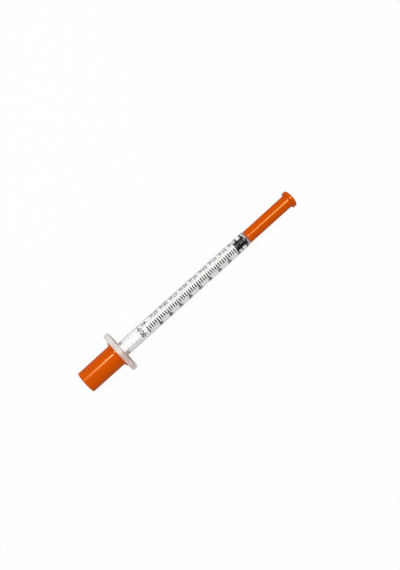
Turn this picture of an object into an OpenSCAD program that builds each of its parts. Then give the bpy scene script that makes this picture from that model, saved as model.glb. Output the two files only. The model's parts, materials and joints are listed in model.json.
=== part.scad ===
// Disposable 1 mL syringe with a fixed needle, capped at both ends.
// The origin is the centre of the flange's needle-side face. +X runs along the syringe
// towards the needle, and +Z is square to the flange's flat sides.

/* [Scale] */
// Length of the printed scale, which is one millilitre in a 4.7 mm bore
scale_len = 57.64; // [35:0.01:66]
// Units that the scale covers
scale_units = 100; // [50:10:100]
// Units between neighbouring marks
unit_step = 2; // [1, 2, 5]
// Units between neighbouring long marks
long_step = 10; // [10, 20]
// Width of a printed mark along the barrel
mark_w = 0.54; // [0.2:0.02:0.7]
// Thickness of the ink
ink_t = 0.03; // [0.02:0.01:0.05]
// Angle round the barrel at which every mark starts
mark_start = -8; // [-30:1:0]
// Angle round the barrel at which a short mark ends
short_end = 26; // [10:1:40]
// Angle round the barrel at which a long mark ends
long_end = 51; // [45:1:70]
// Angle round the barrel of the filling arrow
arrow_angle = -43; // [-60:1:-30]
// Length of the filling arrow
arrow_len = 3; // [2:0.1:5]
// How far the filling arrow starts behind the last mark
arrow_inset = 1.5; // [0:0.1:2]
// Width of the filling arrow's shaft
arrow_w = 0.5; // [0.2:0.02:0.7]
// Width of the filling arrow's head
arrow_head_w = 1.15; // [0.7:0.05:1.4]

/* [Barrel] */
// Bore of the barrel
bore_d = 4.7; // [4.4:0.05:4.9]
// Wall of the barrel
barrel_wall = 1; // [0.8:0.05:1.2]
// Distance from the flange to the last mark of the scale
rear_margin = 14.3; // [11:0.1:18]
// Thickness of the wall that closes the bore at the needle end
end_wall = 1.2; // [1:0.1:1.6]
// Fillet between barrel and flange
root_fillet = 0.45; // [0.2:0.05:0.6]
// Height of the bead that keeps the stopper in the bore
bead_h = 0.12; // [0.08:0.01:0.15]
// Length of that bead
bead_len = 0.8; // [0.5:0.1:1]
// Distance from the rear opening to that bead
bead_inset = 2.6; // [2:0.1:3.2]

/* [Finger flange] */
// Diameter across the flange's round ends
flange_d = 19.7; // [18:0.1:22]
// How far the flange's flat sides stand out past the plunger cap's lip
flat_margin = 0.3; // [0.1:0.05:1]
// Thickness of the flange
flange_t = 2.3; // [1.8:0.1:3]
// Rounding of the flange's edges
flange_edge = 0.35; // [0.2:0.05:0.5]
// Outside of the collar that the plunger cap grips
collar_d = 8.5; // [8.2:0.1:9]
// Length of that collar
collar_len = 2.2; // [1.5:0.1:3]

/* [Nose] */
// Diameter of the nose at the barrel
nose_root_d = 4.2; // [4:0.1:4.4]
// Diameter of the nose at its tip
nose_tip_d = 2.9; // [2.4:0.1:3.2]
// Length of the nose
nose_len = 6.8; // [6:0.1:8]
// Height of the nose's grip ribs at the barrel
rib_h = 0.25; // [0.15:0.05:0.35]
// Length of the nose's grip ribs
rib_len = 4.2; // [3:0.1:5]
// Thickness of one grip rib
rib_t = 0.5; // [0.3:0.05:0.8]
// Number of grip ribs
rib_count = 6; // [4:1:8]
// Diameter of the glue well in the nose's tip
well_d = 1.5; // [1.2:0.1:1.8]
// Depth of the glue well
well_depth = 1.3; // [0.8:0.1:2]
// Height of the glue bead above the nose's tip
glue_rise = 0.35; // [0.2:0.05:0.6]

/* [Needle] */
// Outside of the needle tube
needle_d = 0.33; // [0.3:0.01:0.4]
// Wall of the needle tube
needle_wall = 0.08; // [0.06:0.01:0.1]
// Length of needle beyond the nose
needle_len = 12.7; // [8:0.1:13]
// Angle of the needle's bevel to its axis
bevel_angle = 14; // [11:1:20]

/* [Stopper] */
// Length of the rubber stopper
stopper_len = 5.5; // [5:0.1:7]
// Length of its front sealing ring
front_ring = 1.15; // [0.8:0.05:1.5]
// Length of its rear sealing ring
rear_ring = 0.8; // [0.6:0.05:1.2]
// Length of its tail behind the rear ring
tail_len = 1.75; // [1.4:0.05:2]
// Depth of the waist between the rings
waist_depth = 0.43; // [0.25:0.01:0.5]
// How far the tail lies inside the rings
tail_depth = 0.33; // [0.2:0.01:0.5]

/* [Plunger rod] */
// Thickness of each rib of the rod
web_t = 0.8; // [0.6:0.05:1.1]
// Roll of the rod's cross in the barrel
rod_roll = 33; // [0:1:90]
// Thickness of the disc that pushes the stopper
push_t = 0.8; // [0.6:0.1:1.2]
// Diameter of the neck in the stopper
neck_d = 1.5; // [1.3:0.05:1.6]
// Length of the neck in the stopper
neck_len = 1.1; // [0.9:0.1:1.3]
// Diameter of the snap button in the stopper
button_d = 2.3; // [2.1:0.05:2.4]
// Length of the snap button
button_len = 1.4; // [1:0.1:1.6]
// Distance that the pressed-home rod stands out behind the flange
stand_off = 17; // [14:0.1:20]
// Thickness of the thumb rest
thumb_t = 1.2; // [1:0.1:1.6]
// Rounding of the thumb rest's edge
thumb_edge = 0.35; // [0.2:0.05:0.45]
// Number of raised rings on the thumb rest
thumb_rings = 3; // [1:1:3]
// Width of one raised ring
thumb_ring_w = 0.35; // [0.2:0.05:0.5]
// Height of the raised rings
thumb_ring_h = 0.15; // [0.1:0.05:0.15]

/* [Plunger cap] */
// Wall of the cap at its closed end
cap_wall = 0.87; // [0.7:0.01:1.2]
// Wall of the cap next to its lip
cap_mouth_wall = 0.97; // [0.7:0.01:1.3]
// Thickness of the cap's closed end
cap_end_t = 1.25; // [1:0.05:1.6]
// How far the cap's lip stands out
lip_reach = 1.25; // [1:0.05:1.6]
// Thickness of the lip at its edge
lip_t = 0.8; // [0.6:0.05:1]
// Rounding of the lip's edges
lip_edge = 0.2; // [0.1:0.05:0.25]
// Radius of the flare between cap and lip
flare_r = 0.75; // [0.4:0.05:0.9]
// Rounding of the closed end's edge
cap_edge = 0.3; // [0.15:0.05:0.5]
// Diameter of the recess in the closed end
dimple_d = 2.5; // [1.5:0.1:4]
// Depth of that recess
dimple_depth = 0.7; // [0.3:0.05:0.8]

/* [Needle shield] */
// Wall of the shield round the nose's ribs
shield_wall = 0.62; // [0.5:0.01:0.8]
// How much wider the shield gets from its open end to its head
shield_spread = 0.15; // [0:0.01:0.3]
// Bore of the shield round the needle
shield_bore_d = 4.2; // [3.8:0.1:4.4]
// How far the shield's head stands out
head_reach = 0.975; // [0.8:0.005:1.3]
// Thickness of the shield's head
head_t = 1.8; // [1.4:0.1:2.4]
// Rounding of the head's edges
head_edge = 0.35; // [0.2:0.05:0.5]
// Fillet between the shield's tube and its head
head_fillet = 0.4; // [0.2:0.05:0.6]
// Thickness of the shield's closed end
shield_end_t = 2.1; // [1.6:0.1:3]
// Free length between the needle's point and the closed end
point_gap = 5.55; // [3:0.05:8]

/* [Fits] */
// Gap round the stopper's rings in the bore
ring_gap = 0.02; // [0.01:0.01:0.04]
// Gap round the rod in the bore
rod_gap = 0.25; // [0.2:0.01:0.3]
// Gap round the snap button and neck in the stopper
snap_gap = 0.05; // [0.03:0.01:0.08]
// Gap round the collar in the plunger cap
cap_gap = 0.03; // [0.01:0.01:0.06]
// Gap round the grip ribs in the shield
shield_gap = 0.03; // [0.01:0.01:0.06]
// Gap between end faces that rest on each other
seat_gap = 0.05; // [0.02:0.01:0.1]
// Gap between the thumb rest and the cap's closed end
thumb_gap = 0.4; // [0.2:0.05:1]
// Gap round the thumb rest in the cap
thumb_play = 0.28; // [0.2:0.01:0.5]

/* [Hidden] */
$fn = 96;
// Overrun of a cut past the solid that it cuts
over = 0.5;
// Share of the arrow's length that its head takes
arrow_head_share = 0.42;
// Share of the snap button's length that is a point
button_point_share = 0.55;
// Share of the snap button's diameter left at its point
button_tip_share = 0.45;
// Share of the front ring's diameter at the stopper's flat front
front_face_share = 0.9;
// Share of the front ring's length that is chamfered
front_chamfer_share = 0.2;
// Share of the well's diameter at the top of the glue bead
glue_top_share = 0.5;
// Share of the shield's end thickness taken by the taper at the bore's bottom
bore_taper_share = 0.35;
// Shares of the thumb rest's diameter at which its raised rings lie
thumb_ring_shares = [0.75, 0.5, 0.25];

barrel_d = bore_d + 2 * barrel_wall;
mark_pitch = scale_len * unit_step / scale_units;
last_mark_x = rear_margin;
zero_x = rear_margin + scale_len;
bore_end_x = zero_x;
shoulder_x = bore_end_x + end_wall;
nose_tip_x = shoulder_x + nose_len;
point_x = nose_tip_x + needle_len;
flange_rear_x = -flange_t;
collar_rear_x = flange_rear_x - collar_len;
rib_d = nose_root_d + 2 * rib_h;
needle_bore_d = needle_d - 2 * needle_wall;

stopper_front_x = bore_end_x - seat_gap;
stopper_rear_x = stopper_front_x - stopper_len;
ring_d = bore_d - 2 * ring_gap;
waist_d = ring_d - 2 * waist_depth;
tail_d = ring_d - 2 * tail_depth;
neck_hole_d = neck_d + 2 * snap_gap;
button_hole_d = button_d + 2 * snap_gap;
neck_hole_len = neck_len - snap_gap;
button_hole_len = button_len + 2 * snap_gap;

rod_d = bore_d - 2 * rod_gap;
push_front_x = stopper_rear_x - snap_gap;
push_rear_x = push_front_x - push_t;
rod_rear_x = flange_rear_x - stand_off;
thumb_front_x = rod_rear_x + thumb_t;

cap_bore_d = collar_d + 2 * cap_gap;
cap_d = cap_bore_d + 2 * cap_wall;
cap_mouth_d = cap_bore_d + 2 * cap_mouth_wall;
lip_d = cap_mouth_d + 2 * lip_reach;
flange_flats = lip_d + 2 * flat_margin;
thumb_d = cap_bore_d - 2 * thumb_play;
cap_mouth_x = flange_rear_x - seat_gap;
cap_floor_x = rod_rear_x - thumb_gap;
cap_end_x = cap_floor_x - cap_end_t;

grip_bore_d = rib_d + 2 * shield_gap;
shield_d = grip_bore_d + 2 * shield_wall;
shield_neck_d = shield_d + shield_spread;
head_d = shield_neck_d + 2 * head_reach;
shield_rim_x = shoulder_x + seat_gap;
shield_floor_x = point_x + point_gap;
shield_end_x = shield_floor_x + shield_end_t;
head_rear_x = shield_end_x - head_t;
bore_taper = shield_end_t * bore_taper_share;

// How far the plunger draws back until the stopper's rear ring meets the bead
bead_rear_x = collar_rear_x + bead_inset;
bead_front_x = bead_rear_x + bead_len;
plunger_travel = stopper_rear_x + tail_len - bead_front_x - 2 * seat_gap;

// Turns an outline in (radius, x) about the syringe's axis
module turned(span = 360) {
  rotate([0, 90, 0])
    rotate_extrude(angle = span)
      children();
}

// Outline of a round bar from x0 to x1 that goes from diameter d0 to d1
module bar(x0, x1, d0, d1) {
  polygon([[0, x0], [d0 / 2, x0], [d1 / 2, x1], [0, x1]]);
}

// Outline of a ring from x0 to x1 between two diameters
module ring(x0, x1, inner_d, outer_d) {
  translate([inner_d / 2, x0])
    square([(outer_d - inner_d) / 2, x1 - x0]);
}

// Outline of a disc whose two edges are rounded
module rounded_disc(x0, x1, d, edge) {
  bar(x0, x1, d - 2 * edge, d - 2 * edge);
  bar(x0 + edge, x1 - edge, d, d);
  for (x = [x0 + edge, x1 - edge])
    translate([d / 2 - edge, x])
      circle(edge);
}

// Outline of the fillet in the corner between a bar of diameter d and a face at x,
// on the side of the face that side = 1 or -1 names
module corner_fillet(d, x, radius, side) {
  translate([d / 2, x])
    mirror([0, (1 - side) / 2])
      difference() {
        translate([-radius, 0])
          square([2 * radius, radius]);
        translate([radius, radius])
          circle(radius);
      }
}

// Flat-sided disc with all its edges rounded
module flange_plate() {
  flat = flange_flats / 2 - flange_edge;
  intersection() {
    turned()
      rounded_disc(flange_rear_x, 0, flange_d, flange_edge);
    translate([0, flange_d / 2 + over, 0])
      rotate([90, 0, 0])
        linear_extrude(flange_d + 2 * over) {
          translate([flange_rear_x, -flat])
            square([flange_t, 2 * flat]);
          translate([flange_rear_x + flange_edge, -flange_flats / 2])
            square([flange_t - 2 * flange_edge, flange_flats]);
          for (x = [flange_rear_x + flange_edge, -flange_edge])
            for (z = [-flat, flat])
              translate([x, z])
                circle(flange_edge);
        }
  }
}

// Outline of the bore, which narrows at the bead
module bore(x0, x1) {
  bar(x0, bead_rear_x, bore_d, bore_d);
  bar(bead_rear_x - over, bead_front_x + over, bore_d - 2 * bead_h, bore_d - 2 * bead_h);
  bar(bead_front_x, x1, bore_d, bore_d);
}

module barrel() {
  color([0.9, 0.92, 0.93, 0.5])
    difference() {
      union() {
        flange_plate();
        turned() {
          bar(collar_rear_x, flange_rear_x + over, collar_d, collar_d);
          bar(-over, shoulder_x, barrel_d, barrel_d);
          corner_fillet(barrel_d, 0, root_fillet, 1);
          bar(shoulder_x - over, nose_tip_x, nose_root_d, nose_tip_d);
        }
        grip_ribs();
      }
      turned() {
        bore(collar_rear_x - over, bore_end_x);
        bar(bore_end_x - over, nose_tip_x + over, needle_d, needle_d);
        bar(nose_tip_x - well_depth, nose_tip_x + over, well_d, well_d);
      }
    }
}

// Ribs on the nose that grip the needle shield
module grip_ribs() {
  intersection() {
    turned()
      bar(shoulder_x - over, shoulder_x + rib_len, rib_d, rib_d);
    for (i = [0:rib_count - 1])
      rotate([i * 360 / rib_count, 0, 0])
        translate([shoulder_x - over, -rib_t / 2, 0])
          cube([rib_len + over, rib_t, rib_d]);
  }
}

// One printed mark, a thin band part of the way round the barrel at x
module mark(x, end_angle) {
  rotate([180 + mark_start, 0, 0])
    turned(end_angle - mark_start)
      ring(x - mark_w / 2, x + mark_w / 2, barrel_d, barrel_d + 2 * ink_t);
}

// Filling arrow beside the last mark, which points to the needle
module arrow() {
  head = arrow_len * arrow_head_share;
  tail_x = last_mark_x - arrow_inset;
  rotate([arrow_angle, 0, 0])
    intersection() {
      turned()
        ring(tail_x - over, tail_x + arrow_len + over, barrel_d, barrel_d + 2 * ink_t);
      linear_extrude(barrel_d) {
        translate([tail_x, -arrow_w / 2])
          square([arrow_len - head / 2, arrow_w]);
        translate([tail_x + arrow_len - head, 0])
          polygon([[0, -arrow_head_w / 2], [head, 0], [0, arrow_head_w / 2]]);
      }
    }
}

module scale_marks() {
  color("black") {
    for (unit = [0:unit_step:scale_units])
      mark(zero_x - unit / unit_step * mark_pitch, unit % long_step == 0 ? long_end : short_end);
    arrow();
  }
}

module needle() {
  color("lightsteelblue")
    difference() {
      turned()
        bar(bore_end_x, point_x, needle_d, needle_d);
      turned()
        bar(bore_end_x - over, point_x + over, needle_bore_d, needle_bore_d);
      translate([point_x, 0, -needle_d / 2])
        rotate([0, bevel_angle, 0])
          translate([-needle_len, -needle_d, 0])
            cube([needle_len + over, 2 * needle_d, needle_len]);
    }
}

module needle_glue() {
  color([0.85, 0.9, 0.8, 0.6])
    difference() {
      turned() {
        bar(nose_tip_x - well_depth, nose_tip_x, well_d, well_d);
        bar(nose_tip_x, nose_tip_x + glue_rise, well_d, well_d * glue_top_share);
      }
      turned()
        bar(nose_tip_x - well_depth - over, nose_tip_x + glue_rise + over, needle_d, needle_d);
    }
}

module stopper() {
  chamfer = front_ring * front_chamfer_share;
  color([0.08, 0.08, 0.09])
    difference() {
      turned() {
        bar(stopper_front_x - chamfer, stopper_front_x, ring_d, ring_d * front_face_share);
        bar(stopper_front_x - front_ring, stopper_front_x - chamfer, ring_d, ring_d);
        bar(stopper_rear_x + tail_len, stopper_front_x - front_ring, waist_d, waist_d);
        bar(stopper_rear_x + tail_len, stopper_rear_x + tail_len + rear_ring, ring_d, ring_d);
        bar(stopper_rear_x, stopper_rear_x + tail_len, tail_d, tail_d);
      }
      turned() {
        bar(stopper_rear_x - over, stopper_rear_x + neck_hole_len + over, neck_hole_d, neck_hole_d);
        bar(stopper_rear_x + neck_hole_len, stopper_rear_x + neck_hole_len + button_hole_len,
            button_hole_d, button_hole_d);
      }
    }
}

// Snap button on its neck, which holds the stopper on the rod
module snap_button() {
  neck_end_x = stopper_rear_x + neck_len;
  point = button_len * button_point_share;
  turned() {
    bar(push_front_x - over, neck_end_x + over, neck_d, neck_d);
    bar(neck_end_x, neck_end_x + button_len - point, button_d, button_d);
    bar(neck_end_x + button_len - point, neck_end_x + button_len,
        button_d, button_d * button_tip_share);
  }
}

// Outline of one raised ring on the thumb rest, which keeps a thumb from slipping
module thumb_ring(d) {
  ring(rod_rear_x - thumb_ring_h, rod_rear_x + thumb_edge, d - thumb_ring_w, d + thumb_ring_w);
}

module plunger_rod() {
  color([0.95, 0.95, 0.93]) {
    intersection() {
      turned()
        bar(thumb_front_x - over, push_rear_x + over, rod_d, rod_d);
      rotate([rod_roll, 0, 0])
        for (turn = [0, 90])
          rotate([turn, 0, 0])
            translate([thumb_front_x - over, -web_t / 2, -rod_d])
              cube([push_rear_x - thumb_front_x + 2 * over, web_t, 2 * rod_d]);
    }
    turned() {
      bar(push_rear_x, push_front_x, rod_d, rod_d);
      rounded_disc(rod_rear_x, thumb_front_x, thumb_d, thumb_edge);
      for (i = [0:thumb_rings - 1])
        thumb_ring(thumb_d * thumb_ring_shares[i]);
    }
    snap_button();
  }
}

module plunger_cap() {
  lip_rear_x = cap_mouth_x - lip_t;
  color([0.85, 0.33, 0.02])
    difference() {
      turned() {
        rounded_disc(cap_end_x, cap_floor_x, cap_d, cap_edge);
        bar(cap_end_x + cap_edge, cap_mouth_x, cap_d, cap_mouth_d);
        rounded_disc(lip_rear_x, cap_mouth_x, lip_d, lip_edge);
        corner_fillet(cap_mouth_d, lip_rear_x, flare_r, -1);
      }
      turned() {
        bar(cap_floor_x, cap_mouth_x + over, cap_bore_d, cap_bore_d);
        bar(cap_end_x - over, cap_end_x + dimple_depth, dimple_d, dimple_d);
      }
    }
}

module needle_shield() {
  color([0.85, 0.33, 0.02])
    difference() {
      turned() {
        bar(shield_rim_x, head_rear_x + over, shield_d, shield_neck_d);
        rounded_disc(head_rear_x, shield_end_x, head_d, head_edge);
        corner_fillet(shield_neck_d, head_rear_x, head_fillet, -1);
      }
      turned() {
        bar(shield_rim_x - over, shoulder_x + nose_len, grip_bore_d, grip_bore_d);
        bar(shoulder_x + nose_len - over, shield_floor_x - bore_taper, shield_bore_d, shield_bore_d);
        bar(shield_floor_x - bore_taper, shield_floor_x, shield_bore_d, shield_bore_d - 2 * bore_taper);
      }
    }
}

barrel();
scale_marks();
needle();
needle_glue();
stopper();
plunger_rod();
plunger_cap();
needle_shield();
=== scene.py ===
"""A capped disposable syringe with a fixed needle, lying on a white table."""
import json
import math

import bmesh
import bpy
from mathutils import Matrix, Vector


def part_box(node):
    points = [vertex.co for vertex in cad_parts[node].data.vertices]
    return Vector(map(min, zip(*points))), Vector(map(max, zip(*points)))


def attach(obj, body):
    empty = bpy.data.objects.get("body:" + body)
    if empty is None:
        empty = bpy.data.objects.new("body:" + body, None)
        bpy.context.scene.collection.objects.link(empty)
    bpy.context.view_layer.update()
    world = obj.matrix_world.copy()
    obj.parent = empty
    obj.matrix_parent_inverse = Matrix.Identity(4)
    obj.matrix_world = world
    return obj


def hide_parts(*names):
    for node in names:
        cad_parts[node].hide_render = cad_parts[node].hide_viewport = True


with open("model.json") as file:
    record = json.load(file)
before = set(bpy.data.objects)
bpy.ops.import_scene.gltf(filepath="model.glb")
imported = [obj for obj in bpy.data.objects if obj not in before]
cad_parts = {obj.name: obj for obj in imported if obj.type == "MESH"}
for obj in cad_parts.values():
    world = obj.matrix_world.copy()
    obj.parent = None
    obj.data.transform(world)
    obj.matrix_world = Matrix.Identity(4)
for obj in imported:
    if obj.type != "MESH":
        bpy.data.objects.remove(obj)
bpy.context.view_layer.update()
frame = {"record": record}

# Lengths are in millimetres here, and a finished mesh is brought to metres by this
MM = 0.001
# Steps round a turned piece, and along a rounded edge
SEGMENTS = 192
EDGE_STEPS = 6
# A turned piece's outline starts this far off the axis, so that its direction stays clear
AXIS_GAP = 0.0001
# Distance within which points of a turned piece are one point
JOIN_DISTANCE = 0.0005
# Edges that turn by more than this stay crisp
CRISP_ANGLE = math.radians(32)


def span(node):
    """A CAD node's lowest and highest corner, in millimetres."""
    low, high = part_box(node)
    return low / MM, high / MM


barrel_low, barrel_high = span("barrel")
stopper_low, stopper_high = span("stopper")
rod_low = span("plunger_rod")[0]
cap_low, cap_high = span("plunger_cap")
shield_low, shield_high = span("needle_shield")
needle_low, needle_high = span("needle")
glue_low, glue_high = span("needle_glue")
mounts = {mount["name"]: mount for mount in frame["record"]["mounts"]}

# Barrel. Here and below an EDGE, ROOT, FILLET or DOME is the radius of a rounding
BARREL_R = mounts["barrel_grip"]["dims"]["r_mm"]
BARREL_WALL = 1.0
BORE_R = BARREL_R - BARREL_WALL
COLLAR_REAR = barrel_low.x
COLLAR_R = 4.25
COLLAR_EDGE = 0.2
COLLAR_ROOT = 0.1
MOUTH_EDGE = 0.15
FLANGE_T = 2.3
FLANGE_R = barrel_high.y
FLANGE_FLAT = barrel_high.z
FLANGE_EDGE = 0.35
ROOT_FILLET = 0.45
# What stands out from the barrel's wall by more than this, near the flange, is frosted
FROST_MARGIN = 0.01
BEAD_H = 0.12
BEAD_LEN = 0.8
BEAD_INSET = 2.6
BEAD_EDGE = 0.05
BEAD_ROOT = 0.1
BORE_END_EDGE = 0.1
SHOULDER_EDGE = 0.12
END_WALL = 1.2
NOSE_TIP = barrel_high.x
NOSE_LEN = 6.8
NOSE_ROOT_R = 2.1
NOSE_TIP_R = 1.45
TIP_EDGE = 0.2
RIB_H = 0.25
RIB_LEN = 4.2
RIB_T = 0.5
RIB_COUNT = 6
# The ring of points past the ribs' ends stands this far from them, so that the ribs end square
RIB_STEP = 0.1
WELL_R = glue_high.y
WELL_DEPTH = 1.3
WELL_EDGE = 0.05
SHOULDER = NOSE_TIP - NOSE_LEN
BORE_END = SHOULDER - END_WALL

# Needle, set in its glue
NEEDLE_R = needle_high.y
NEEDLE_WALL = 0.08
BEVEL = math.radians(14)
# How far bonded pieces reach into each other, so that no air shows between them
BOND = 0.004
GLUE_GAP = 0.01
GLUE_EDGE = 0.1
GLUE_TOP_W = 0.1
GLUE_TOP_T = 0.1
GLUE_DOME = 0.3

# Stopper
STOPPER_FRONT = stopper_high.x
STOPPER_REAR = stopper_low.x
FRONT_RING = 1.15
FRONT_CHAMFER = 0.23
FRONT_SHARE = 0.9
FRONT_EDGE = 0.08
CHAMFER_EDGE = 0.1
RING_EDGE = 0.16
REAR_RING = 0.8
TAIL_LEN = 1.75
TAIL_EDGE = 0.2
TAIL_ROOT = 0.1
TAIL_R = 2.0
WAIST_R = 1.9
WAIST_FILLET = 0.2
HOLE_EDGE = 0.05
HOLE_END_EDGE = 0.1
BUTTON_R = 1.15
BUTTON_LEN = 1.4
BUTTON_EDGE = 0.08
NECK_R = 0.75
NECK_LEN = 1.1
NECK_ROOT = 0.1
SNAP_GAP = 0.05

# Plunger rod
ROD_GAP = 0.25
ROD_R = BORE_R - ROD_GAP
WEB_T = 0.8
ROD_ROLL = math.radians(33)
# A sine or cosine no smaller than this keeps a rib's length finite
LEAST_SINE = 1e-6
PUSH_T = 0.8
PUSH_EDGE = 0.1
# A second ring of points on the push disc's rear edge stands this far ahead and this much wider
PUSH_STEP = 0.01
PUSH_RISE = 0.001
# The button is full width for this share of its length and narrows to this share of its radius
BUTTON_SIDE_SHARE = 0.45
BUTTON_TIP_SHARE = 0.45
BUTTON_SIDE_EDGE = 0.15
BUTTON_TIP_EDGE = 0.1
THUMB_R = 4.0
THUMB_T = 1.2
THUMB_EDGE = 0.35
THUMB_RING_H = 0.15
THUMB_RING_W = 0.35
THUMB_RING_EDGE = 0.06
THUMB_RING_RADII = (1.0, 2.0, 3.0)
ROD_REAR = rod_low.x + THUMB_RING_H
ROD_FILLET = 0.3

# Plunger cap
CAP_R = 5.15
CAP_MOUTH_R = 5.25
CAP_BORE_R = 4.28
CAP_END_T = 1.25
CAP_EDGE = 0.3
CAP_FLOOR_EDGE = 0.3
CAP_RIM_EDGE = 0.15
LIP_R = cap_high.y
LIP_T = 0.8
LIP_EDGE = 0.2
FLARE_R = 0.75
DIMPLE_R = 1.25
DIMPLE_DEPTH = 0.7
DIMPLE_EDGE = 0.1
DIMPLE_FLOOR_EDGE = 0.2

# Needle shield
SHIELD_R = 3.0
SHIELD_NECK_R = 3.075
SHIELD_BORE_R = 2.1
GRIP_BORE_R = 2.38
GRIP_EDGE = 0.1
RIM_EDGE = 0.12
HEAD_R = shield_high.y
HEAD_T = 1.8
HEAD_EDGE = 0.35
HEAD_FILLET = 0.4
SHIELD_END_T = 2.1
BORE_TAPER = 0.735
GATE_R = 0.7
GATE_DEPTH = 0.12
GATE_EDGE = 0.05

# Printed scale. Its angles are in degrees from the top of the barrel, positive towards -Y
INK_T = 0.03
MARK_W = 0.54
SCALE_LEN = 57.64
SCALE_UNITS = 100
UNIT_STEP = 2
LONG_STEP = 10
MARK_PITCH = SCALE_LEN * UNIT_STEP / SCALE_UNITS
MARK_COUNT = SCALE_UNITS // UNIT_STEP + 1
MARKS_PER_LONG = LONG_STEP // UNIT_STEP
MARK_START = -8
SHORT_END = 26
LONG_END = 51
# Points along a mark, and the width of the strips that bend a number round the barrel
MARK_POINTS = 24
PRINT_STEP = 0.12
# A cut this close to a point goes through the point
CUT_DISTANCE = 1e-5
ARROW_ANGLE = -43
ARROW_REAR = 12.8
ARROW_LEN = 3
ARROW_HEAD_LEN = 1.26
ARROW_W = 0.5
ARROW_HEAD_W = 1.15
UNITS_SIZE = 2.7
UNITS_NARROW = 0.9
UNITS_ANGLE = 64
VOLUME_SIZE = 2.5
VOLUME_NARROW = 0.66
VOLUME_ANGLE = -51
# The full scale's own number and volume stand side by side past the last mark
TOTAL_X = 11.05
TOTAL_SIZE = 3.1
TOTAL_ANGLE = 2
TOTAL_VOLUME_SIZE = 1.4
TOTAL_VOLUME_NARROW = 0.7
TOTAL_VOLUME_ANGLE = -47
INK_SPREAD = 0.05
# Steps in a curved edge of a number
TEXT_STEPS = 3
# Which of a flat print's own axes runs along the barrel, and which round it
ROUND_PRINT = ((0, 1, 0), (1, 0, 0))
LONG_PRINT = ((-1, 0, 0), (0, 1, 0))
ARROW_PRINT = ((1, 0, 0), (0, 1, 0))


def rounded(corners):
    """The outline through (x, radius, rounding) corners, each with its edge rounded."""
    points = [Vector(corner[:2]) for corner in corners]
    roundings = [corner[2] if len(corner) > 2 else 0 for corner in corners]
    outline = []
    for i, (point, rounding) in enumerate(zip(points, roundings)):
        if not rounding:
            outline.append(point)
            continue
        back = (points[i - 1] - point).normalized()
        ahead = (points[(i + 1) % len(points)] - point).normalized()
        half = back.angle(ahead) / 2
        centre = point + (back + ahead).normalized() * rounding / math.sin(half)
        start = point + back * rounding / math.tan(half) - centre
        end = point + ahead * rounding / math.tan(half) - centre
        outline += [centre + start.slerp(end, step / EDGE_STEPS) * rounding
                    for step in range(EDGE_STEPS + 1)]
    return outline


def new_tree(name, kind, sockets):
    """A node tree with its input and output nodes. sockets are (name, direction, type, value)."""
    tree = bpy.data.node_groups.new(name, kind)
    for label, direction, socket_type, value in sockets:
        socket = tree.interface.new_socket(label, in_out=direction,
                                           socket_type="NodeSocket" + socket_type)
        if value is not None:
            socket.default_value = value
    return tree, tree.nodes.new("NodeGroupInput"), tree.nodes.new("NodeGroupOutput")


def node(tree, kind, **settings):
    """A new node. A setting of in_ and an input's name or number fills or links that input. Of
    a mix node, inputs 2 and 3 are the two numbers, and 6 and 7 the two colours."""
    made = tree.nodes.new(kind)
    inputs = {}
    for key, value in settings.items():
        if key.startswith("in_"):
            inputs[key[3:]] = value
        else:
            setattr(made, key, value)
    for key, value in inputs.items():
        socket = made.inputs[int(key)] if key.isdigit() else made.inputs[key.replace("_", " ")]
        if isinstance(value, bpy.types.NodeSocket):
            tree.links.new(value, socket)
        else:
            socket.default_value = value
    return made


def node_of(tree, kind):
    """The one node of its kind in a tree."""
    return next(candidate for candidate in tree.nodes if candidate.type == kind)


def turning_tree():
    """Turns an outline, given as a line of edges in (radius, -x), about the Z axis."""
    tree, given, result = new_tree("Turned outline", "GeometryNodeTree", [
        ("Outline", "INPUT", "Geometry", None),
        ("Segments", "INPUT", "Int", SEGMENTS),
        ("Axis Gap", "INPUT", "Float", AXIS_GAP),
        ("Join Distance", "INPUT", "Float", JOIN_DISTANCE),
        ("Material", "INPUT", "Material", None),
        ("Solid", "OUTPUT", "Geometry", None),
    ])
    circle = node(tree, "GeometryNodeCurvePrimitiveCircle", mode="RADIUS",
                  in_Resolution=given.outputs["Segments"], in_Radius=given.outputs["Axis Gap"])
    outline = node(tree, "GeometryNodeMeshToCurve", in_Mesh=given.outputs["Outline"])
    turned_faces = node(tree, "GeometryNodeCurveToMesh", in_Curve=circle.outputs["Curve"],
                        in_Profile_Curve=outline.outputs["Curve"])
    merged = node(tree, "GeometryNodeMergeByDistance", in_Geometry=turned_faces.outputs["Mesh"],
                  in_Distance=given.outputs["Join Distance"])
    smooth = node(tree, "GeometryNodeSetShadeSmooth", in_Geometry=merged.outputs["Geometry"])
    painted = node(tree, "GeometryNodeSetMaterial", in_Geometry=smooth.outputs["Geometry"],
                   in_Material=given.outputs["Material"])
    tree.links.new(painted.outputs["Geometry"], result.inputs["Solid"])
    return tree


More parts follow.
